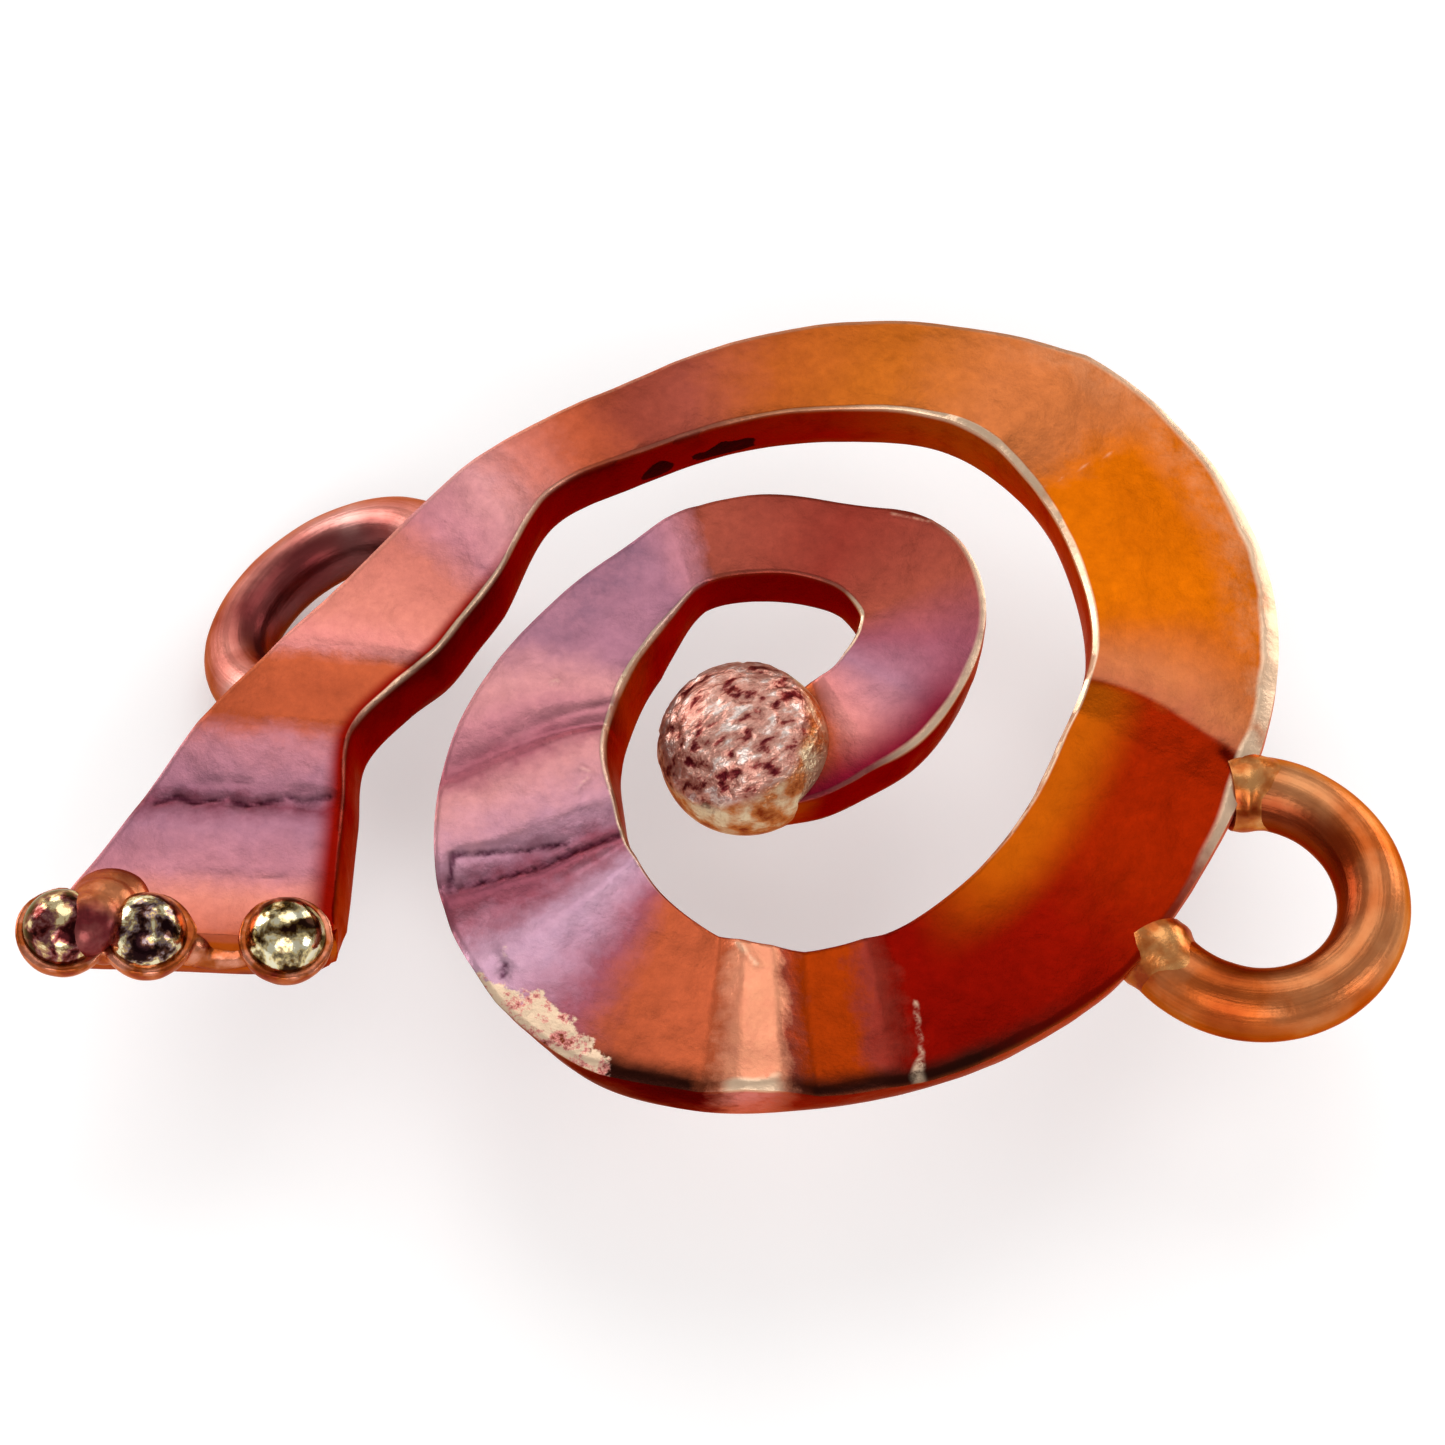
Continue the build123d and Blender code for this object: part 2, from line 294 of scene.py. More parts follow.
def strip_section(station):
    """One closed section of the strip: (point, marks) from the front's inner edge round to the wall."""
    inner = along_edge(INNER, station)
    outer = along_edge(OUTER, station)
    aside = (outer - inner).normalized()
    outer = outer + aside * between(SWELL_OUTER, station)
    creases = lines_near(CREASES, station)
    scrapes = lines_near(SCRAPES, station)
    back_z = between(BACK, station)
    end = max(0.0, 1 - station / END_REACH)
    section = []

    def front_point(share):
        place = inner.lerp(outer, share)
        leaned = station - between(LEAN, station) * (share - 0.5)
        height = HALF + 1.3 * between(RELIEF, min(max(leaned, 0), LAST))
        height += 0.075 * wander(place, 1.9, 1) + 0.018 * wander(place, 0.5, 2)
        height -= 0.06 * abs(2 * share - 1) ** 3
        crease, sunk = touch(creases, place)
        scrape, raised = touch(scrapes, place)
        height += raised - sunk
        patch = bell(leaned - 23.45, 0.62) * min(max((share - 0.72) * 4, 0), 1)
        marks = dict(PLAIN, along=leaned, across=share, crease=crease, scrape=scrape, patch=patch)
        return place, height, marks

    # the front face lies between the two filed bevels
    width = (outer - inner).length
    inner_bevel = between(BEVEL_INNER, station) * (1 + 0.4 * wander(inner, 1.1, 3))
    outer_bevel = between(BEVEL_OUTER, station) * (1 + 0.4 * wander(outer, 1.1, 3))
    low, high = inner_bevel / width, 1 - 1.3 * outer_bevel / width
    # edge marks carry wear and painted highlight along both filed bevels
    inner_wear_and_highlight, outer_wear_and_highlight = between(WEAR_AND_HIGHLIGHT_INNER, station), between(WEAR_AND_HIGHLIGHT_OUTER, station)
    for k in range(ACROSS + 1):
        place, height, marks = front_point(low + (high - low) * k / ACROSS)
        marks["edge"] = outer_wear_and_highlight * max(0.0, 1 - (ACROSS - k) / 3)
        if k == 0:
            marks["edge"] = inner_wear_and_highlight
            lip = inner - aside * LIP + UP * (height - inner_bevel)
            section.append((lip, dict(marks, wall=LIP_WALL, across=0.0)))
        section.append((place + UP * height, marks))
    lip = outer + aside * LIP + UP * (height - 0.8 * outer_bevel)
    section.append((lip, dict(marks, wall=LIP_WALL, across=1.0)))
    walls = []
    for side, top, spread in ((1, section[-1][0], SPREAD_OUTER), (-1, section[0][0], SPREAD_INNER)):
        out = between(spread, station)
        rows = []
        for row in range(1, WALL_ROWS + 1):
            depth = row / (WALL_ROWS + 1)
            ripple = 0.03 * wander(top + UP * depth * 3, 0.9, 4)
            place = top + aside * side * (out * depth + 0.05 * sin(pi * depth) + ripple)
            place.z = top.z + (back_z + 0.1 - top.z) * depth
            scale = max(bell(station - at, reach) for at, reach in FIRE_SCALE) if side < 0 else 0.0
            scale *= min(max((depth - 0.4) * 5, 0), 1)
            rows.append((place, dict(PLAIN, along=station, across=(side + 1) / 2, wall=1.0, patch=scale)))
        foot = top + aside * side * out
        foot.z = back_z + BACK_BEVEL
        walls.append((rows, foot))
    (outer_rows, outer_foot), (inner_rows, inner_foot) = walls
    section += outer_rows
    # the back face, with a bevel at both edges
    for k in range(ACROSS + 3):
        share = 1 - min(max((k - 1) / ACROSS, 0), 1)
        place = inner_foot.lerp(outer_foot, share)
        place.z = back_z + 0.02 + 0.03 * wander(place, 1.3, 5) + 0.01 * wander(place, 0.4, 6)
        place.z = max(place.z, back_z)
        mark = dict(PLAIN, along=station, across=share, wall=1.0, back=1.0)
        if k == 0 or k == ACROSS + 2:
            place.z = back_z + BACK_BEVEL
            mark["back"] = 0.3
        elif k == 1 or k == ACROSS + 1:
            place = place - aside * BACK_BEVEL * (1 if k == 1 else -1)
        section.append((place, mark))
    section += inner_rows[::-1]
    # the tail's end face leans out, its corners are rounded and its front edge is dressed down
    if end > 0:
        for place, marks in section:
            place.y += end * (END_SETBACK - END_SLOPE * (HALF - place.z) / (2 * HALF))
            corner = max(0.0, abs(marks["across"] - 0.5) * 2 - 0.75) * 4
            place.y += 0.5 * end * corner**2
            if marks["wall"] < 0.5:
                place.z -= 0.12 * max(0.0, end - 0.8) * 5
    return section


def in_scene(name, data):
    """New object in the scene."""
    made = bpy.data.objects.new(name, data)
    bpy.context.scene.collection.objects.link(made)
    return made


def finish_mesh(name, points, faces, marks=None, sharp=50):
    """Mesh object from millimetre points, smooth but for edges sharper than `sharp` degrees."""
    mesh = bpy.data.meshes.new(name)
    mesh.from_pydata([place * MM for place in points], [], faces)
    for key in (marks[0] if marks else {}):
        layer = mesh.attributes.new(key, "FLOAT", "POINT")
        layer.data.foreach_set("value", [mark[key] for mark in marks])
    tidy = bmesh.new()
    tidy.from_mesh(mesh)
    bmesh.ops.recalc_face_normals(tidy, faces=tidy.faces)
    tidy.to_mesh(mesh)
    tidy.free()
    mesh.shade_smooth()
    mesh.set_sharp_from_angle(angle=radians(sharp))
    return in_scene(name, mesh)


def make_strip():
    """The forged strip: its sections joined, and a grid over each end."""
    sections = [strip_section(i / STEPS) for i in range(LAST * STEPS + 1)]
    size = len(sections[0])
    points, marks, faces = [], [], []
    for section in sections:
        for place, mark in section:
            points.append(CENTRE + place)
            marks.append(mark)
    for i in range(len(sections) - 1):
        for k in range(size):
            a, b = i * size + k, i * size + (k + 1) % size
            faces.append((a, b, b + size, a + size))
    columns = ACROSS + 3
    for start in (0, (len(sections) - 1) * size):
        front = [start + k for k in range(columns)]
        back = [start + columns + WALL_ROWS + k for k in range(columns)][::-1]
        outer_wall = [start + columns + k for k in range(WALL_ROWS)]
        inner_wall = [start + 2 * columns + WALL_ROWS + k for k in range(WALL_ROWS)][::-1]
        grid = [front]
        for row in range(WALL_ROWS):
            depth = (row + 1) / (WALL_ROWS + 1)
            line = [inner_wall[row]]
            for k in range(1, columns - 1):
                place = points[front[k]].lerp(points[back[k]], depth)
                place.y += 0.05 * wander(place, 0.7, 8) if start == 0 else 0
                points.append(place)
                marks.append(dict(PLAIN, along=marks[front[k]]["along"], across=k / columns, wall=1.0))
                line.append(len(points) - 1)
            grid.append(line + [outer_wall[row]])
        grid.append(back)
        for upper, lower in zip(grid, grid[1:]):
            for k in range(columns - 1):
                faces.append((upper[k], upper[k + 1], lower[k + 1], lower[k]))
    return finish_mesh("forged_strip", points, faces, marks, sharp=38)


# ---- round pieces
def make_ball(name, centre, radius, detail, shape, grain=None):
    """Ball whose radius is changed by shape(direction), marked with grain(direction)."""
    build = bmesh.new()
    bmesh.ops.create_icosphere(build, subdivisions=detail, radius=1)
    for vertex in build.verts:
        direction = vertex.co.normalized()
        vertex.co = (centre + direction * radius * shape(direction)) * MM
    mesh = bpy.data.meshes.new(name)
    build.to_mesh(mesh)
    build.free()
    if grain:
        layer = mesh.attributes.new("grain", "FLOAT", "POINT")
        directions = [(vertex.co / MM - centre).normalized() for vertex in mesh.vertices]
        layer.data.foreach_set("value", [grain(direction) for direction in directions])
    mesh.shade_smooth()
    return in_scene(name, mesh)


# The grainy crown faces along this axis, leaving the smooth rim at the right and bottom, where its cream is a
# painted highlight.
GRAIN_AXIS = Vector((-0.44, 0.02, 0.9)).normalized()


def grainy(direction):
    """1 on the grainy crown of the ball, 0 on its smooth rim and underside."""
    ragged = 0.08 * wander(direction, 0.3, 14)
    return min(max((direction.dot(GRAIN_AXIS) + ragged - 0.3) * 8, 0), 1)


def pitted(direction):
    """Grainy, pitted crown standing a little proud of a smooth rim."""
    place = direction * BALL_RADIUS
    grain = grainy(direction)
    stretched = Vector((place.x * 0.8 + place.y * 0.5, place.y * 1.5 - place.x * 0.7, place.z))
    pits = max(0, wander(stretched, 0.42, 9) - 0.12) ** 0.8
    crown = 0.017 - 0.07 * pits + 0.012 * wander(place, 0.25, 10)
    return 0.975 + grain * crown + 0.004 * wander(place, 1.2, 11)


def bead_shape(direction):
    """Slightly uneven bead."""
    return 0.99 + 0.008 * wander(direction, 0.6, 12)


def sweep_ring(name, centre, x_dir, y_dir, start, end, radius_at, pieces=220, around=36):
    """Round wire along an arc. radius_at(bearing, around) gives the wire's radius there."""
    closed = abs(end - start) >= 360
    points, marks, faces = [], [], []
    axis = x_dir.cross(y_dir)
    count = pieces if closed else pieces + 1
    for i in range(count):
        bearing = start + (end - start) * i / pieces
        out = x_dir * cos(radians(bearing)) + y_dir * sin(radians(bearing))
        spot = {"ring_x": RING_RADIUS * cos(radians(bearing)), "ring_y": RING_RADIUS * sin(radians(bearing))}
        for k in range(around):
            turn = 2 * pi * k / around
            radius = radius_at(bearing, turn)
            points.append(centre + out * (RING_RADIUS + radius * cos(turn)) + axis * radius * sin(turn))
            marks.append(dict(spot, outward=cos(turn), upward=sin(turn)))
    for i in range(pieces):
        for k in range(around):
            a, b = i * around + k, i * around + (k + 1) % around
            c, d = ((i + 1) % count) * around + k, ((i + 1) % count) * around + (k + 1) % around
            faces.append((a, b, d, c))
    if not closed:
        faces.append(tuple(range(around)))
        faces.append(tuple(pieces * around + k for k in range(around)))
    return finish_mesh(name, points, faces, marks)


def blobs(name, shapes, voxel, smooth=6):
    """One flowed lump from several: each is (centre, three radii, ceiling or None)."""
    build = bmesh.new()
    for centre, radii, ceiling in shapes:
        made = bmesh.ops.create_icosphere(build, subdivisions=4, radius=1)
        for vertex in made["verts"]:
            place = Vector((vertex.co.x * radii[0], vertex.co.y * radii[1], vertex.co.z * radii[2])) + centre
            if ceiling is not None:
                place.z = min(place.z, ceiling)
            place += vertex.co * 0.03 * wander(place, 0.5, 13)
            vertex.co = place * MM
    mesh = bpy.data.meshes.new(name)
    build.to_mesh(mesh)
    build.free()
    piece = in_scene(name, mesh)
    remesh = piece.modifiers.new("flow", "REMESH")
    remesh.mode = "VOXEL"
    remesh.voxel_size = voxel * MM
    relax = piece.modifiers.new("relax", "SMOOTH")
    relax.factor = 0.5
    relax.iterations = smooth
    return apply_modifiers(piece)


def apply_modifiers(piece):
    """Keeps the shape that the modifiers give, without the modifiers."""
    bpy.context.view_layer.update()
    shaped = bpy.data.meshes.new_from_object(piece.evaluated_get(bpy.context.evaluated_depsgraph_get()))
    piece.modifiers.clear()
    piece.data = shaped
    shaped.shade_smooth()
    return piece


# ---- materials
STUDIO_GAIN = 1.4  # how much brighter the studio makes polished metal


def srgb(red, green, blue, gain=STUDIO_GAIN):
    """Linear colour, from the shade of 0 to 255 that the metal has in the studio's light."""
    return tuple(((c / 255 + 0.055) / 1.055) ** 2.4 / gain for c in (red, green, blue)) + (1.0,)


class Paint:
    """A node material, built a node at a time."""

    def __init__(self, name, metallic, roughness, coat=0.0, tint=(0.85, 0.4, 0.22, 1)):
        self.material = bpy.data.materials.new(name)
        self.material.use_nodes = True
        self.tree = self.material.node_tree
        self.shader = self.tree.nodes["Principled BSDF"]
        self.fill(self.shader, {"Metallic": metallic, "Roughness": roughness, "Coat Weight": coat,
                                "Coat Roughness": 0.12, "Specular Tint": tint})
        self.place = self.node("ShaderNodeTexCoord").outputs["Object"]

    def fill(self, node, sources):
        """Links each source to the node's input of that name or number, or writes it there."""
        for key, source in sources.items():
            if isinstance(source, bpy.types.NodeSocket):
                self.tree.links.new(source, node.inputs[key])
            else:
                node.inputs[key].default_value = source

    def node(self, kind, sources={}, **settings):
        made = self.tree.nodes.new(kind)
        for key, value in settings.items():
            setattr(made, key, value)
        self.fill(made, sources)
        return made

    def mark(self, name):
        """One of the marks that the mesh's points carry."""
        return self.node("ShaderNodeAttribute", attribute_name=name).outputs["Fac"]

    def math(self, operation, a, b):
        return self.node("ShaderNodeMath", {0: a, 1: b}, operation=operation).outputs[0]

    def add(self, a, b):
        return self.math("ADD", a, b)

    def less(self, a, b):
        return self.math("SUBTRACT", a, b)

    def times(self, a, b):
        return self.math("MULTIPLY", a, b)

    def grain(self, size, detail, stretch=(1, 1, 1), rough=0.55, twist=0.0, turned=0.0):
        """Noise with lumps `size` millimetres across, stretched along axes turned in plan."""
        mapping = self.node("ShaderNodeMapping", {
            "Vector": self.place, "Rotation": (0, 0, radians(turned)), "Scale": stretch,
        }, vector_type="TEXTURE")
        return self.node("ShaderNodeTexNoise", {
            "Vector": mapping.outputs["Vector"], "Scale": 1 / (size * MM), "Detail": detail,
            "Roughness": rough, "Distortion": twist}).outputs["Fac"]

    def ramp(self, factor, stops):
        """Colour from (position, colour) stops."""
        made = self.node("ShaderNodeValToRGB", {"Fac": factor})
        elements = made.color_ramp.elements
        while len(elements) < len(stops):
            elements.new(0.5)
        for element, (position, colour) in zip(elements, stops):
            element.position = position
            element.color = colour
        return made.outputs["Color"]

    def band(self, factor, low, high):
        """0 below low, 1 above high."""
        made = self.node("ShaderNodeMapRange", {"Value": factor, "From Min": low, "From Max": high},
                         interpolation_type="SMOOTHSTEP")
        return made.outputs["Result"]

    def past(self, factor, low, high):
        """1 below low, 0 above high."""
        return self.less(1.0, self.band(factor, low, high))

    def window(self, factor, rise, fall):
        """1 between a band that it rises over and one that it falls over."""
        return self.times(self.band(factor, *rise), self.past(factor, *fall))

    def mix(self, factor, a, b, blend="MIX"):
        made = self.node("ShaderNodeMix", {0: factor, 6: a, 7: b}, data_type="RGBA", blend_type=blend)
        return made.outputs[2]

    def colour(self, source):
        self.fill(self.shader, {"Base Color": source})

    def rough(self, factor, low, high):
        """Roughness from low to high as the factor goes from 0 to 1."""
        made = self.node("ShaderNodeMapRange", {"Value": factor, "To Min": low, "To Max": high})
        self.fill(self.shader, {"Roughness": made.outputs["Result"]})

    def bump(self, *layers):
        """Fine relief; each layer is (height, depth in millimetres)."""
        below = {}
        for height, depth in layers:
            made = self.node("ShaderNodeBump", {"Distance": depth * MM, "Height": height, **below})
            below = {"Normal": made.outputs["Normal"]}
        self.fill(self.shader, below)


TINTS = {name: srgb(*value) for name, value in {
    "peach": (232, 142, 124), "salmon": (214, 126, 110), "rose": (202, 132, 142),
    "mauve": (178, 122, 140), "plum": (135, 72, 88), "lilac": (212, 170, 192), "blush": (220, 152, 152),
    "ember": (190, 90, 56), "rust": (205, 100, 62), "clay": (155, 70, 54), "brick": (166, 80, 63),
    "ochre": (184, 91, 36), "amber": (199, 106, 32), "tan": (210, 120, 65), "blaze": (221, 110, 4),
    "flame": (200, 96, 34), "burnt": (163, 36, 1), "ruby": (144, 17, 1), "garnet": (134, 11, 1),
    "glow": (250, 164, 126), "oxblood": (146, 56, 45), "heather": (166, 90, 104),
    "cream": (255, 222, 188), "gold": (214, 130, 52), "cherry": (142, 14, 2), "coal": (48, 34, 38),
    "cocoa": (128, 56, 32), "honey": (190, 84, 22), "bloom": (240, 150, 142), "dust_and_sheen": (232, 156, 110),
    "smoke": (128, 92, 112), "blood": (226, 150, 120), "copper": (198, 90, 8), "painted_rim_shade": (50, 20, 14),
    "umber": (150, 54, 42), "fox": (172, 58, 8), "orchid": (198, 146, 166), "scale": (18, 20, 22),
}.items()}

# Heat colours along the front face, by station, for the outer turn and the inner one; their pale pinks also
# carry a painted reflection of a pale sky.
HEAT_AND_SHEEN_OUTER = [
    (0, "ember"), (1.2, "peach"), (1.9, "rose"), (2.6, "mauve"), (2.88, "plum"), (3.1, "mauve"),
    (3.6, "rose"), (3.95, "ember"), (4.6, "ember"), (5.25, "rust"), (5.45, "bloom"), (6.2, "peach"),
    (7.2, "salmon"), (7.9, "rose"), (8.5, "blush"), (9.0, "salmon"), (9.5, "ember"), (10.0, "clay"),
    (10.6, "brick"), (11.4, "ochre"), (12.3, "amber"), (13.1, "tan"), (14.05, "tan"), (14.35, "blaze"),
    (15.8, "blaze"), (16.5, "flame"), (16.8, "burnt"), (18.2, "burnt"), (18.9, "ruby"),
    (20.0, "garnet"),
]
HEAT_AND_SHEEN_INNER = [
    (20.0, "garnet"), (20.25, "garnet"), (20.4, "umber"), (20.55, "umber"), (20.62, "fox"),
    (21.0, "fox"), (21.15, "clay"), (21.3, "glow"), (21.75, "glow"), (21.88, "rust"), (23.0, "ember"),
    (23.4, "heather"), (23.75, "orchid"), (24.1, "lilac"), (24.45, "heather"), (24.75, "plum"),
    (24.95, "orchid"), (25.6, "blush"), (26.0, "heather"), (26.5, "rose"), (27.0, "blush"),
    (27.6, "mauve"), (29.2, "mauve"), (29.7, "rose"), (30.1, "brick"), (32.0, "oxblood"),
    (34.4, "brick"), (36.0, "heather"), (37.3, "mauve"), (39.0, "bloom"), (39.6, "ember"),
    (41.0, "gold"),
]
# Heat colours of the inner wall and of the outer rim's wall. Their deep reds are partly oxide and partly
# painted shade for the dark surroundings that the walls reflect; on the rim's wall the pale tints from 15 to
# 17.3, at 21.4 to 21.65 and at 34 are painted highlights, and the dark tints from 20.2 to 23, but for the
# ridge, are painted shade.
WALL_HEAT_AND_SHADE = [
    (0, "honey"), (1.5, "honey"), (3, "burnt"), (5, "cherry"), (8, "garnet"), (10, "cherry"),
    (12, "burnt"), (13.2, "honey"), (15, "honey"), (17, "burnt"), (19, "honey"), (23, "burnt"),
    (25, "burnt"), (27, "honey"), (28.5, "burnt"), (30, "garnet"), (34, "garnet"), (36, "cherry"),
    (41, "honey"),
]
RIM_HEAT_HIGHLIGHT_SHADE = [
    (0, "honey"), (1, "rust"), (4, "clay"), (9, "rose"), (12, "tan"), (15, "dust_and_sheen"), (16.2, "dust_and_sheen"),
    (17.3, "bloom"), (18, "rust"), (19, "honey"), (19.7, "ochre"), (20.2, "cocoa"), (21.2, "cocoa"),
    (21.4, "bloom"), (21.65, "bloom"), (21.85, "painted_rim_shade"), (23, "painted_rim_shade"), (24, "cocoa"), (28, "heather"),
    (31, "brick"), (34, "bloom"), (36, "rust"), (37, "cherry"), (40, "cherry"), (41, "honey"),
]


def stops(pairs):
    """Ramp stops from (station, tint) pairs."""
    return [(station / LAST, TINTS[tint]) for station, tint in pairs]


def copper_strip():
    """Flame-coloured copper: heat colours by station with some painted sheen, stains, wear with painted
    highlights, painted shade on the walls, creases and rolled rim, and back.
    """
    paint = Paint("flame_patina_copper", 1.0, 0.35, tint=(0.9, 0.3, 0.14, 1))
    along = paint.mark("along")
    across = paint.mark("across")
    ragged = paint.times(paint.less(paint.grain(0.9, 6, rough=0.7), 0.5), 0.55)
    heat = paint.math("DIVIDE", paint.add(along, ragged), float(LAST))
    far = paint.band(heat, 19.9 / LAST, 20.1 / LAST)
    front = paint.mix(far, paint.ramp(heat, stops(HEAT_AND_SHEEN_OUTER)), paint.ramp(heat, stops(HEAT_AND_SHEEN_INNER)))
    behind = paint.mix(0.45, front, TINTS["clay"])
    # fine mottling and pale clouds
    fine = paint.grain(0.3, 6, rough=0.7)
    mottle = paint.ramp(fine, [(0.3, (0.42, 0.4, 0.42, 1)), (0.7, (0.62, 0.6, 0.58, 1))])
    front = paint.mix(0.5, front, mottle, "OVERLAY")
    cloud = paint.ramp(paint.grain(2.4, 3), [(0.3, (0.36, 0.36, 0.4, 1)), (0.7, (0.64, 0.6, 0.58, 1))])
    front = paint.mix(0.3, front, cloud, "SOFT_LIGHT")
    # darker red along the inner edge of the tail and the outer edge of the hook
    near_inner = paint.past(across, 0.03, 0.14)
    on_tail = paint.past(along, 7.0, 9.0)
    front = paint.mix(paint.times(near_inner, on_tail), front, TINTS["cherry"])
    on_hook = paint.times(paint.band(along, 35.6, 37.5), paint.band(across, 0.45, 0.98))
    front = paint.mix(on_hook, front, srgb(132, 16, 42))
    # the far side of the strong fold stays orange near the inner edge
    past_fold = paint.window(along, (16.75, 16.9), (18.6, 20.0))
    inner_third = paint.past(across, 0.1, 0.42)
    front = paint.mix(paint.times(past_fold, inner_third), front, TINTS["copper"])
    # dusty bloom along the rim of the orange part and just before the fold
    cloudy = paint.band(paint.grain(0.9, 6, rough=0.7), 0.3, 0.78)
    dusty = paint.window(along, (12.6, 13.6), (16.75, 16.85))
    dusty = paint.times(dusty, paint.band(across, 0.62, 0.95))
    before_fold = paint.window(along, (15.9, 16.7), (16.76, 16.82))
    dusty = paint.math("MAXIMUM", paint.times(dusty, cloudy), paint.times(before_fold, 0.55))
    front = paint.mix(paint.times(dusty, 0.75), front, TINTS["dust_and_sheen"])
    # grey-violet smoke on the outer half of the left arm
    smoke = paint.times(paint.window(along, (27.2, 28.0), (29.0, 29.8)), paint.band(across, 0.35, 0.75))
    smoke = paint.times(smoke, cloudy)
    front = paint.mix(paint.times(smoke, 0.8), front, TINTS["smoke"])
    # painted shade: the rim that rolls over at the bottom is painted dark, but for the ridge
    rim_shade_amount = paint.ramp(heat, [(station / LAST, (value, value, value, 1)) for station, value in ROLLED])
    near_rim = paint.band(paint.add(across, paint.times(ragged, 0.12)), 0.83, 0.97)
    front = paint.mix(paint.times(rim_shade_amount, near_rim), front, TINTS["painted_rim_shade"])
    # creases darkened as painted shade, scrapes and the worn patch
    broken = paint.ramp(paint.grain(0.8, 5, rough=0.7), [(0.36, (0.25, 0.25, 0.25, 1)), (0.56, (1, 1, 1, 1))])
    crease_shade = paint.times(paint.band(paint.mark("crease"), 0.25, 1.0), broken)
    front = paint.mix(crease_shade, front, (0.24, 0.14, 0.2, 1), "MULTIPLY")
    scuffed = paint.times(paint.band(paint.mark("scrape"), 0.3, 1.0), paint.band(fine, 0.34, 0.56))
    front = paint.mix(paint.times(scuffed, 0.7), front, TINTS["cream"])
    flakes = paint.ramp(paint.grain(0.4, 5, rough=0.75), [
        (0.36, TINTS["cocoa"]), (0.45, TINTS["bloom"]), (0.52, TINTS["cream"]), (0.6, TINTS["cream"])])
    flaked = paint.add(paint.mark("patch"), paint.less(paint.grain(0.7, 5, rough=0.7), 0.5))
    front = paint.mix(paint.band(flaked, 0.4, 0.5), front, flakes)
    # the inner wall and the outer rim's wall, partly painted shade and painted highlight, and redder patches
    # on both
    wall = paint.mix(paint.band(across, 0.45, 0.55), paint.ramp(heat, stops(WALL_HEAT_AND_SHADE)),
                     paint.ramp(heat, stops(RIM_HEAT_HIGHLIGHT_SHADE)))
    spotted = paint.times(paint.band(paint.grain(0.9, 5, rough=0.7), 0.45, 0.75), 0.6)
    wall = paint.mix(spotted, wall, TINTS["blood"], "MULTIPLY")
    # the back face is duller, with dark spots
    wall = paint.mix(paint.mark("back"), wall, behind)
    back_spots = paint.times(paint.mark("back"), paint.band(paint.grain(2.6, 5), 0.5, 0.62))
    wall = paint.mix(paint.times(back_spots, 0.75), wall, TINTS["coal"])
    # black fire scale on the inner wall
    scaled = paint.add(paint.mark("patch"), paint.less(paint.grain(0.6, 4), 0.5))
    scaled = paint.less(scaled, paint.times(across, 2.0))
    wall = paint.mix(paint.band(scaled, 0.48, 0.56), wall, TINTS["scale"])
    # front and walls together, with both filed edges worn bright and painted with highlights in places
    base = paint.mix(paint.band(paint.mark("wall"), 0.3, 0.9), front, wall)
    patchy = paint.band(paint.grain(2.2, 5, rough=0.6), 0.22, 0.5)
    wear_and_highlight = paint.times(paint.band(paint.mark("edge"), 0.25, 0.85), patchy)
    base = paint.mix(paint.times(wear_and_highlight, 0.9), base, TINTS["cream"])
    paint.colour(base)
    paint.rough(paint.grain(0.7, 5, rough=0.7), 0.24, 0.5)
    paint.bump((paint.grain(0.9, 4), 0.03), (paint.grain(0.16, 4, rough=0.7), 0.012))
    return paint.material


def copper_ball():
    """Grainy copper crown over a smooth golden rim. The crown's pits are painted darker as painted shade and
    its raised grains paler as painted highlight; the rim's pale cream is a painted highlight.
    """
    paint = Paint("reticulated_copper", 0.9, 0.35)
    grains = paint.grain(0.5, 4, stretch=(1.35, 0.7, 1), rough=0.55, turned=30)
    # grain colours that follow the relief: painted shade in the low pits, painted highlight on the raised
    # grains
    colour = paint.ramp(grains, [
        (0.36, srgb(96, 20, 30)), (0.42, srgb(150, 70, 66)), (0.46, srgb(206, 140, 124)),
        (0.56, srgb(236, 178, 160)), (0.64, srgb(255, 232, 222))])
    # the smooth rim, whose pale cream shades are a painted highlight
    smooth = paint.ramp(paint.grain(0.8, 4), [
        (0.34, srgb(150, 60, 22)), (0.46, srgb(220, 136, 78)), (0.6, srgb(255, 232, 190))])
    colour = paint.mix(paint.mark("grain"), smooth, colour)
    paint.colour(colour)
    paint.rough(grains, 0.5, 0.25)
    paint.bump((grains, 0.12), (paint.grain(0.12, 3), 0.03))
    return paint.material


def brass_with_painted_reflections(name, shades):
    """Polished brass with mottled painted reflections; shades run from its darkest painted reflections to
    bare metal.
    """
    paint = Paint(name, 1.0, 0.08, tint=(0.95, 0.85, 0.6, 1))
    patches = paint.grain(0.62, 4, rough=0.6, twist=0.25)
    colour = paint.ramp(patches, [(place, srgb(*shade)) for place, shade in shades])
    paint.colour(colour)
    paint.rough(patches, 0.22, 0.06)
    paint.bump((paint.grain(0.3, 4), 0.012))
    return paint.material


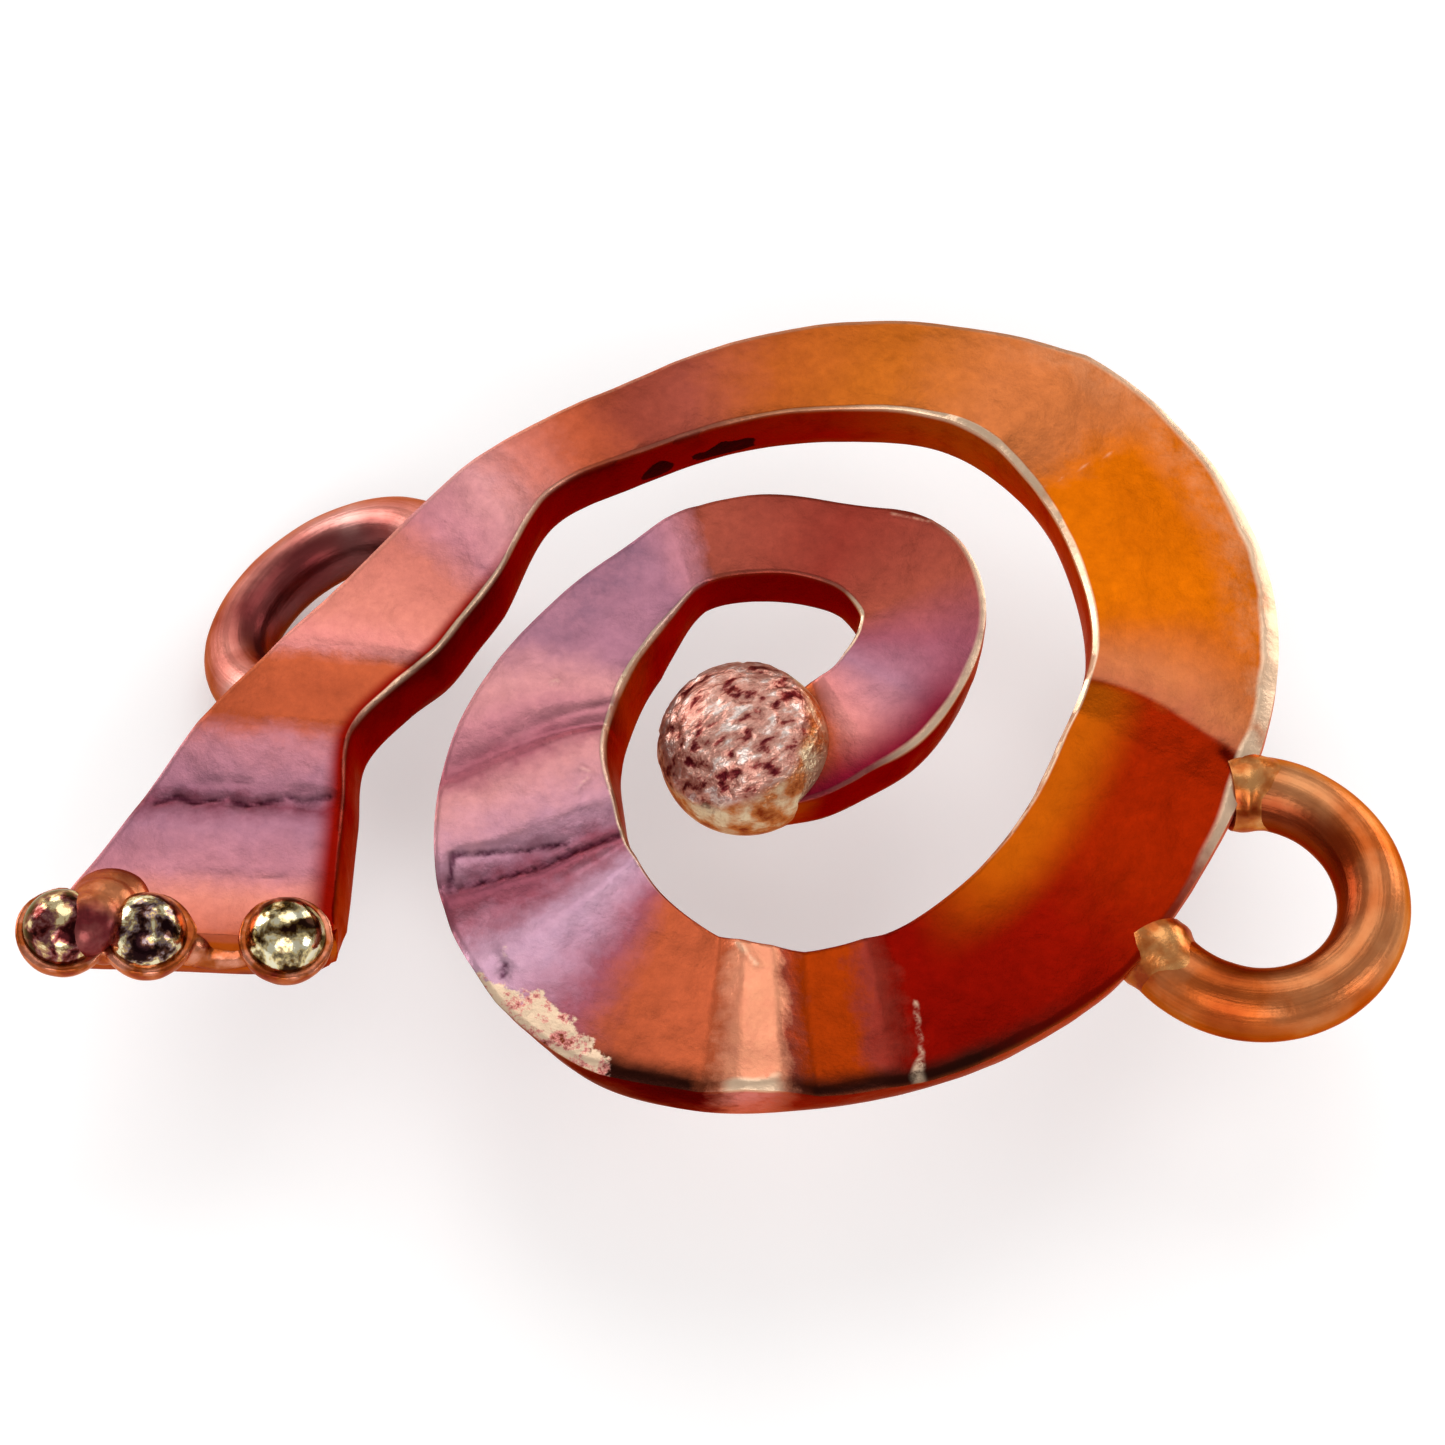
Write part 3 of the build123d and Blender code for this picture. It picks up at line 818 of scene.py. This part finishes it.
def wire_copper(name, light, body, dark, inside):
    """Polished wire with fine streaks drawn out along the ring, and painted shade on the side that faces the
    hole.
    """
    paint = Paint(name, 1.0, 0.28)
    patches = paint.grain(3.2, 5, rough=0.5)
    colour = paint.ramp(patches, [(0.25, srgb(*dark)), (0.47, srgb(*body)), (0.75, srgb(*light))])
    outward = paint.mark("outward")
    along_wire = paint.node("ShaderNodeCombineXYZ", {
        0: paint.add(paint.times(paint.mark("ring_x"), 0.25), paint.times(outward, 5.0)),
        1: paint.times(paint.mark("ring_y"), 0.25), 2: paint.times(paint.mark("upward"), 5.0)}).outputs[0]
    streaks = paint.node("ShaderNodeTexNoise", {
        "Vector": along_wire, "Scale": 1.6, "Detail": 5.0}).outputs["Fac"]
    light_and_dark = paint.ramp(streaks, [(0.3, (0.3, 0.3, 0.3, 1)), (0.7, (0.7, 0.7, 0.7, 1))])
    colour = paint.mix(0.25, colour, light_and_dark, "OVERLAY")
    # painted shade: the side that faces the hole is painted darker, in the inside colour
    facing_hole = paint.less(paint.times(outward, -1.0), paint.less(patches, 0.5))
    colour = paint.mix(paint.times(paint.band(facing_hole, 0.0, 0.7), 0.85), colour, srgb(*inside))
    paint.colour(colour)
    paint.rough(streaks, 0.22, 0.44)
    paint.bump((patches, 0.02), (streaks, 0.015), (paint.grain(0.18, 4), 0.008))
    return paint.material


def solder_gold(name, light, body, dark):
    """Glossy solder, mottled by heat."""
    paint = Paint(name, 0.95, 0.3, coat=0.1)
    patches = paint.grain(0.8, 4, rough=0.5)
    colour = paint.ramp(patches, [(0.33, srgb(*dark)), (0.48, srgb(*body)), (0.64, srgb(*light))])
    paint.colour(colour)
    paint.rough(patches, 0.42, 0.18)
    paint.bump((patches, 0.03), (paint.grain(0.15, 3), 0.01))
    return paint.material


def glassy_solder(front_y):
    """Tan on the tail, running down to maroon over the front of the beads."""
    paint = Paint("glassy_solder", 0.95, 0.4, coat=0.1, tint=(0.9, 0.4, 0.3, 1))
    axes = paint.node("ShaderNodeSeparateXYZ", {0: paint.place})
    patches = paint.grain(1.4, 4, rough=0.6)
    wavy = paint.add(axes.outputs[1], paint.times(patches, 1.2 * MM))
    tan = paint.ramp(patches, [
        (0.35, srgb(146, 66, 38)), (0.5, srgb(174, 92, 54)), (0.65, srgb(206, 126, 82))])
    maroon = paint.ramp(patches, [
        (0.35, srgb(70, 16, 22)), (0.5, srgb(120, 40, 44)), (0.65, srgb(160, 84, 80))])
    paint.colour(paint.mix(paint.band(wavy, (front_y + 0.45) * MM, (front_y + 1.25) * MM), maroon, tan))
    paint.rough(patches, 0.5, 0.3)
    paint.bump((patches, 0.04), (paint.grain(0.2, 3), 0.015))
    return paint.material


def pale_floor():
    paint = Paint("pale_floor", 0.0, 0.85, tint=(1, 1, 1, 1))
    speck = paint.grain(8, 4)
    paint.colour(paint.ramp(speck, [(0.2, (0.93, 0.93, 0.93, 1)), (0.8, (0.96, 0.96, 0.96, 1))]))
    paint.shader.inputs["Emission Color"].default_value = (1, 1, 1, 1)
    paint.shader.inputs["Emission Strength"].default_value = 0.14
    return paint.material


# ---- pieces
def dress(piece, material, slot, body, *nodes):
    """Gives a piece its material, body and the CAD nodes it stands for, if any."""
    piece.data.materials.clear()
    piece.data.materials.append(material)
    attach(piece, body)
    if nodes:
        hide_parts(*nodes)


strip = make_strip()
dress(strip, copper_strip(), "flamed_copper", "link", "spiral_strip")

ball = make_ball("pitted_ball", CENTRE, BALL_RADIUS, 6, pitted, grainy)
dress(ball, copper_ball(), "reticulated_copper", "link", "centre_ball")

# Stops from the darkest painted reflection to bare metal: (position, shade).
BEAD_REFLECTIONS = {
    "outer_bead": [
        (0.42, (50, 14, 16)), (0.47, (112, 44, 40)), (0.52, (146, 92, 92)), (0.57, (205, 160, 110)),
        (0.6, (255, 232, 178))],
    "middle_bead": [
        (0.4, (34, 15, 18)), (0.45, (84, 52, 40)), (0.49, (142, 122, 126)), (0.53, (196, 160, 100)),
        (0.56, (255, 244, 200))],
    "inner_bead": [
        (0.41, (44, 22, 16)), (0.45, (112, 82, 38)), (0.49, (150, 134, 104)), (0.53, (240, 214, 150)),
        (0.58, (255, 248, 214))],
}
for node_name, place in BEADS.items():
    bead = make_ball("polished_" + node_name, place, BEAD_RADIUS, 5, bead_shape)
    reflection_paint = brass_with_painted_reflections("painted_reflections_of_" + node_name, BEAD_REFLECTIONS[node_name])
    dress(bead, reflection_paint, "bright_brass", "link", node_name)

# Solder cups the beads and runs between them.
cup_radius = BEAD_RADIUS + SOLDER - 0.02
cups = [(place, (cup_radius,) * 3, place.z + 0.02) for place in BEADS.values()]
outer_place, middle_place, inner_place = BEADS.values()
cups.append((outer_place.lerp(middle_place, 0.5) + Vector((0, 0.15, -0.55)), (0.8, 0.75, 0.75), None))
cups.append((middle_place.lerp(inner_place, 0.3) + Vector((0, 0.1, -0.62)), (0.62, 0.62, 0.62), None))
cups.append((middle_place.lerp(inner_place, 0.5) + Vector((0, 0.15, -0.95)), (1.4, 0.6, 0.5), None))
cup_piece = blobs("flowed_bead_solder", cups, 0.05, 14)
dress(cup_piece, solder_gold("bead_solder_copper", (232, 150, 120), (176, 84, 30), (120, 30, 10)),
      "brazing_solder", "link", "bead_solder")

# A drop of glassy solder lies over the corner, between the two outer beads.
drop_place = outer_place.lerp(middle_place, 0.5)
drop = [
    (drop_place + Vector((0.12, 0.98, -0.2)), (1.05, 0.92, 0.66), None),
    (drop_place + Vector((-0.05, 0.55, 0.1)), (0.95, 0.9, 0.7), None),
    (drop_place + Vector((-0.3, 0.1, 0.34)), (0.8, 0.8, 0.72), None),
    (drop_place + Vector((-0.45, -0.2, 0.3)), (0.66, 0.66, 0.7), None),
]
drop_piece = blobs("corner_solder_drop", drop, 0.05, 30)
dress(drop_piece, glassy_solder(drop_place.y), "brazing_solder", "link")

# ---- fixed ring
butt = degrees(acos(RIM_SEAT / RING_RADIUS))
arc_start = RIM_FACING - 180 + butt
arc_end = RIM_FACING + 180 - butt
RIM_SEED, LOOSE_SEED = 20, 40                # of each wire's unevenness


def hand_wire(seed):
    """Radius of hand-bent wire: draw lines, plier flats and a slight oval."""
    def radius(bearing, turn):
        lump = Vector((cos(radians(bearing)) * 3, sin(radians(bearing)) * 3, 0))
        skin = Vector((cos(turn) * 1.2, sin(turn) * 1.2, 0)) + lump
        return WIRE_RADIUS * (0.975 + 0.014 * wander(lump, 1.6, seed) + 0.01 * wander(skin, 0.7, seed + 1))
    return radius


def rim_arc(name, start, end, radius_at, pieces=220):
    """Part of the fixed ring, which lies in the strip's plane about the origin."""
    return sweep_ring(name, Vector(), Vector((1, 0, 0)), Vector((0, 1, 0)), start, end, radius_at, pieces)


rim_ring = rim_arc("rim_ring_wire", arc_start - 6, arc_end + 6, hand_wire(RIM_SEED))
rim_copper = wire_copper("rim_wire_copper", (240, 166, 110), (200, 98, 42), (150, 52, 14), (124, 34, 10))
dress(rim_ring, rim_copper, "ring_copper", "link", "fixed_ring")


def fillet_at(where):
    """Wire radius swollen by solder near a butt joint."""
    wire = hand_wire(RIM_SEED)

    def radius(bearing, turn):
        away = abs(bearing - where) * radians(1) * RING_RADIUS
        ragged = 0.4 * wander(Vector((cos(turn), sin(turn), where)), 0.8, 31)
        swell = 0.13 * bell(away, 0.45 + ragged)
        return wire(bearing, turn) + swell - 0.012
    return radius


def make_fillets():
    """Solder at both ends of the fixed ring's wire, as one piece."""
    merged = bmesh.new()
    for side, where in ((-1, arc_start), (1, arc_end)):
        fillet = rim_arc("fillet", where + side * 8, where - side * 20, fillet_at(where), 50)
        merged.from_mesh(fillet.data)
        bpy.data.objects.remove(fillet)
    mesh = bpy.data.meshes.new("rim_ring_solder")
    merged.to_mesh(mesh)
    merged.free()
    mesh.shade_smooth()
    return in_scene("rim_ring_solder", mesh)


golden_solder = solder_gold("golden_solder", (236, 166, 100), (206, 114, 52), (160, 62, 18))
dress(make_fillets(), golden_solder, "brazing_solder", "link", "ring_solder")

# ---- swinging ring
outboard = polar(HINGE_BEARING + 90, 1)
hinge_axis = polar(HINGE_BEARING, 1)
arm = outboard * cos(radians(HINGE_DROOP)) - UP * sin(radians(HINGE_DROOP))
swing_centre = middle("swinging_ring")
loose = sweep_ring("loose_ring_wire", swing_centre, arm, hinge_axis, 0, 360, hand_wire(LOOSE_SEED))
loose_copper = wire_copper(
    "loose_wire_copper", (246, 200, 190), (212, 134, 122), (150, 66, 66), (112, 34, 40))
dress(loose, loose_copper, "ring_copper", "loose_ring", "swinging_ring")

# ---- keeper
hinge_point = swing_centre - arm * RING_RADIUS
half_length = KEEPER_LENGTH / 2
KEEPER_TURNS = 24  # facets round the strap's bend


def keeper_path(reach):
    """Side view of one face of the strap: up a leg, round the bend and up the other leg."""
    bend = [Vector((reach * cos(-pi * i / KEEPER_TURNS), reach * sin(-pi * i / KEEPER_TURNS)))
            for i in range(KEEPER_TURNS + 1)]
    return [Vector((reach, KEEPER_BORE)), *bend, Vector((-reach, KEEPER_BORE))]


def make_keeper():
    """Strap bent round the swinging ring's wire, with rounded edges."""
    outline = keeper_path(KEEPER_BORE + KEEPER_THICKNESS) + keeper_path(KEEPER_BORE + 0.02)[::-1]
    count = len(outline)
    points, faces = [], []
    for end in (-half_length, half_length):
        for x, z in outline:
            ripple = 1 + 0.01 * wander(Vector((x, z, end)), 0.6, 50)
            points.append(hinge_point + outboard * x * ripple + UP * z + hinge_axis * end)
    for i in range(count // 2 - 1):
        for base in (0, count):
            faces.append((base + i, base + i + 1, base + count - 2 - i, base + count - 1 - i))
    for i in range(count):
        faces.append((i, (i + 1) % count, count + (i + 1) % count, count + i))
    keeper = finish_mesh("keeper_strap", points, faces, sharp=30)
    edge = keeper.modifiers.new("edge", "BEVEL")
    edge.width = 0.06 * MM
    edge.segments = 3
    edge.limit_method = "ANGLE"
    edge.angle_limit = radians(40)
    return apply_modifiers(keeper)


keeper_copper = solder_gold("keeper_copper", (230, 150, 120), (190, 95, 60), (130, 45, 30))
dress(make_keeper(), keeper_copper, "ring_copper", "link", "ring_keeper")

feet = []
foot_offset = KEEPER_BORE + KEEPER_THICKNESS / 2
for side in (-1, 1):
    for end in (-1, 1):
        foot = (hinge_point + outboard * side * foot_offset + hinge_axis * end * (half_length + 0.02)
                + UP * (KEEPER_BORE - 0.02))
        feet.append((foot, (0.27, 0.27, 0.24), None))
feet_piece = blobs("keeper_solder_flow", feet, 0.04)
dress(feet_piece, golden_solder, "brazing_solder", "link", "keeper_solder")

# ---- stage, light, camera
FLOOR_Z = -6.85
FLOOR_REACH = 900
LOOK_AT = Vector((-13.5, 3.0, 0))
# Soft lights: name, place, width and power in watts.
LIGHTS = [
    ("overhead_soft", (-5, 178, 275), 250, 0.21), ("right_soft", (260, -90, 110), 110, 0.12),
    ("right_rim_soft", (184, 181, 50), 160, 0.22), ("left_rim_soft", (-240, 150, 60), 150, 0.28),
    ("back_soft", (-110, 300, 70), 130, 0.1), ("front_soft", (-40, -260, 190), 260, 0.45),
]
SKY_COLOUR = (1.0, 0.99, 0.985, 1)
SKY_STRENGTH = 0.55
CAMERA_PLACE = Vector((-23.77, -72.16, 130.17))
CAMERA_RIGHT = Vector((0.9972, 0, 0.0748))
CAMERA_BACK = Vector((-0.0644, -0.5075, 0.8593))
LENS = 142.0

floor_mesh = bpy.data.meshes.new("floor")
corners = [Vector((x * FLOOR_REACH, y * FLOOR_REACH, FLOOR_Z)) * MM
           for x, y in ((-1, -1), (1, -1), (1, 1), (-1, 1))]
floor_mesh.from_pydata(corners, [], [(0, 1, 2, 3)])
floor_mesh.materials.append(pale_floor())
floor = in_scene("floor", floor_mesh)

world = bpy.data.worlds.new("studio")
world.use_nodes = True
world.node_tree.nodes["Background"].inputs["Color"].default_value = SKY_COLOUR
world.node_tree.nodes["Background"].inputs["Strength"].default_value = SKY_STRENGTH
bpy.context.scene.world = world
bpy.context.scene.view_settings.view_transform = "Standard"

for name, place, size, power in LIGHTS:
    light = bpy.data.lights.new(name, "AREA")
    light.shape = "DISK"
    light.size = size * MM
    light.energy = power
    lamp = in_scene(name, light)
    lamp.location = Vector(place) * MM
    lamp.rotation_euler = (LOOK_AT - Vector(place)).to_track_quat("-Z", "Y").to_euler()

camera_data = bpy.data.cameras.new("camera")
camera_data.sensor_width = 36.0
camera_data.lens = LENS
camera_data.clip_start = 0.01
camera = in_scene("camera", camera_data)
turn = Matrix((CAMERA_RIGHT, CAMERA_BACK.cross(CAMERA_RIGHT), CAMERA_BACK)).transposed().to_4x4()
camera.matrix_world = Matrix.Translation(CAMERA_PLACE * MM) @ turn
bpy.context.scene.camera = camera
